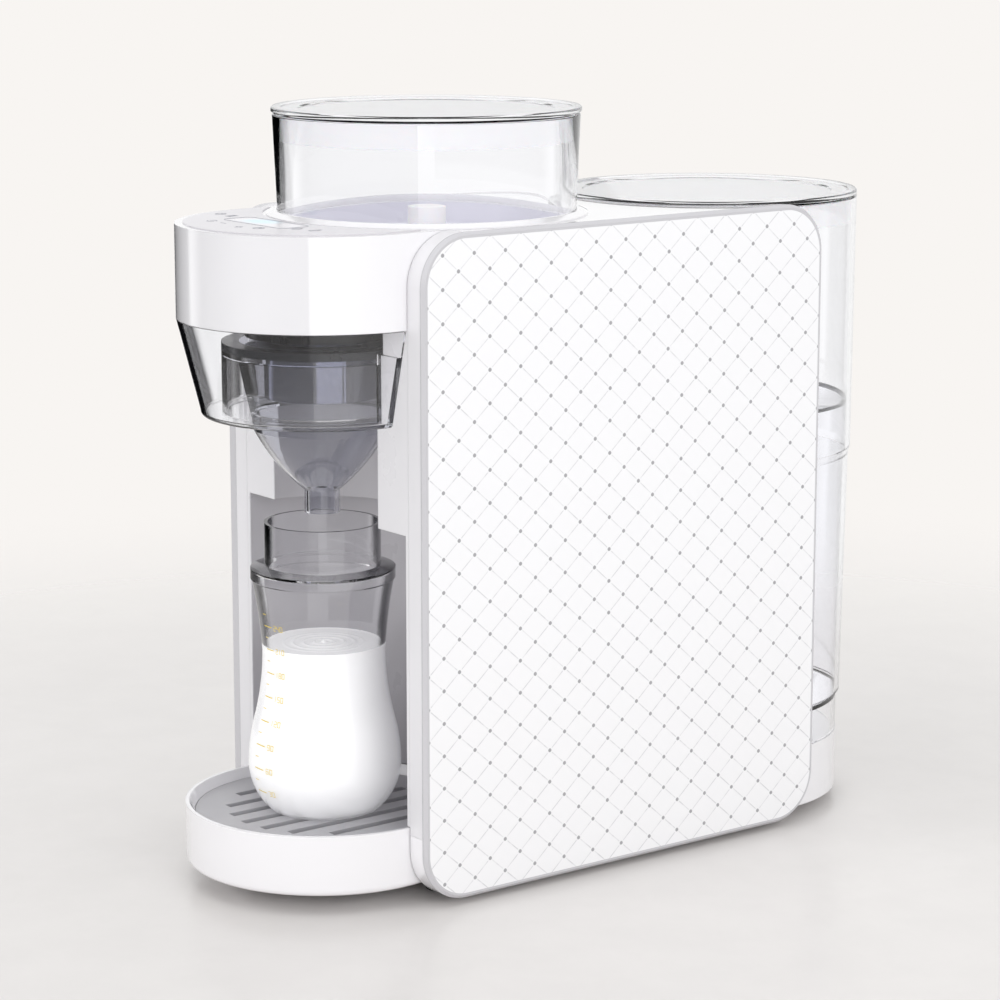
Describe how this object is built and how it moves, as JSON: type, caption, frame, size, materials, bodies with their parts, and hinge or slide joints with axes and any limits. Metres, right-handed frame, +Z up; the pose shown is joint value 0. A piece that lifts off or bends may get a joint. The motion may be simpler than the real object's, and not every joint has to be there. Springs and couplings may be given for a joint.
{
  "type": "baby formula maker",
  "caption": "Countertop baby formula maker: powder hopper and water tank feed a mixing funnel over a bottle on a drip tray.",
  "frame": {"origin": "on the table, under the middle of the machine, between the side panels", "axes": "+X across the machine, to its right side panel; +Y from the nose with the bottle towards the water tank; +Z up"},
  "size_m": [0.1606, 0.375, 0.3605],
  "materials": {
    "gloss_white": "glossy moulded plastic",
    "edge_white": "satin moulded plastic",
    "niche_grey": "satin moulded plastic",
    "tray_white": "glossy moulded plastic",
    "grille_grey": "satin moulded plastic",
    "clear": "clear moulded plastic",
    "lavender": "translucent moulded plastic",
    "slate": "satin moulded plastic",
    "smoke": "tinted moulded plastic",
    "overlay_grey": "printed film",
    "display_blue": "printed film over a lit display",
    "silicone": "translucent silicone",
    "rubber_dark": "matt rubber",
    "gear_white": "moulded acetal",
    "inner_dark": "moulded plastic",
    "motor_metal": "zinc-plated steel",
    "board_green": "circuit board"
  },
  "bodies": {
    "housing": {"base_shell": "gloss_white", "rubber_feet": "rubber_dark", "side_frame_right": "edge_white", "side_frame_left": "edge_white", "cover_panel_right": "gloss_white", "cover_panel_left": "gloss_white", "niche_liner": "niche_grey", "tank_bay_wall": "edge_white", "head_shell": "gloss_white", "control_overlay": "overlay_grey", "display_window": "display_blue", "display_module": "inner_dark", "control_board": "board_green", "board_screws": "motor_metal", "top_deck": "gloss_white", "hopper_collar": "gloss_white", "outlet_collar": "inner_dark", "water_jet": "edge_white", "powder_chute": "edge_white", "dosing_motor": "motor_metal", "gear_plate": "edge_white", "tank_port": "edge_white", "port_seal": "silicone", "water_pump": "inner_dark", "flow_heater": "motor_metal", "heater_bracket": "motor_metal", "supply_hose": "silicone", "heater_hose": "silicone", "jet_hose": "silicone", "power_inlet": "inner_dark", "power_board": "board_green", "transformer": "inner_dark", "board_posts": "edge_white"},
    "hopper": {"hopper_wall": "clear", "hopper_bowl": "lavender"},
    "hopper_cover": {"hopper_lid": "clear", "hopper_lid_seal": "silicone"},
    "stirrer": {"dosing_wheel": "lavender", "agitator": "gear_white"},
    "large_gear": {"drive_gear": "gear_white"},
    "small_gear": {"motor_pinion": "gear_white"},
    "tank": {"water_tank": "clear", "valve_cage": "gloss_white", "valve_spring": "motor_metal"},
    "tank_cover": {"tank_lid": "clear", "tank_lid_seal": "silicone"},
    "valve": {"tank_valve": "gloss_white"},
    "drawer": {"funnel_drawer": "clear", "funnel": "clear", "funnel_ring": "slate", "mixing_cup": "smoke"},
    "tray": {"drip_tray": "tray_white", "drip_grille": "grille_grey"},
    "feeding_bottle": {"bottle": "clear"}
  },
  "joints": [
    {"name": "hopper_lift", "type": "slide", "parent": "housing", "child": "hopper", "axis": [0, 0, 1], "range_m": [0, 0.08]},
    {"name": "hopper_lid_lift", "type": "slide", "parent": "hopper", "child": "hopper_cover", "axis": [0, 0, 1], "range_m": [0, 0.06]},
    {"name": "stirrer_spin", "type": "hinge", "parent": "hopper", "child": "stirrer", "pos_m": [0, -0.0606, 0.2845], "axis": [0, 0, 1], "continuous": true},
    {"name": "drive_spin", "type": "hinge", "parent": "housing", "child": "large_gear", "pos_m": [0, -0.0606, 0.274], "axis": [0, 0, 1], "continuous": true},
    {"name": "pinion_spin", "type": "hinge", "parent": "housing", "child": "small_gear", "pos_m": [0, -0.0206, 0.274], "axis": [0, 0, 1], "continuous": true},
    {"name": "tank_lift", "type": "slide", "parent": "housing", "child": "tank", "axis": [0, 0, 1], "range_m": [0, 0.29]},
    {"name": "tank_lid_lift", "type": "slide", "parent": "tank", "child": "tank_cover", "axis": [0, 0, 1], "range_m": [0, 0.06]},
    {"name": "valve_lift", "type": "slide", "parent": "tank", "child": "valve", "axis": [0, 0, 1], "range_m": [0, 0.003], "stiffness_N_per_m": 60, "deforming": ["valve_spring"]},
    {"name": "drawer_slide", "type": "slide", "parent": "housing", "child": "drawer", "axis": [0, -1, 0], "range_m": [0, 0.15]},
    {"name": "tray_slide", "type": "slide", "parent": "housing", "child": "tray", "axis": [0, -1, 0], "range_m": [0, 0.15]},
    {"name": "bottle_draw", "type": "slide", "parent": "tray", "child": "feeding_bottle", "axis": [0, -0.995, 0.0995], "range_m": [0, 0.15]}
  ],
  "couplings": [
    {"joint": "stirrer_spin", "follows": "drive_spin", "ratio": 1},
    {"joint": "pinion_spin", "follows": "drive_spin", "ratio": -3}
  ]
}
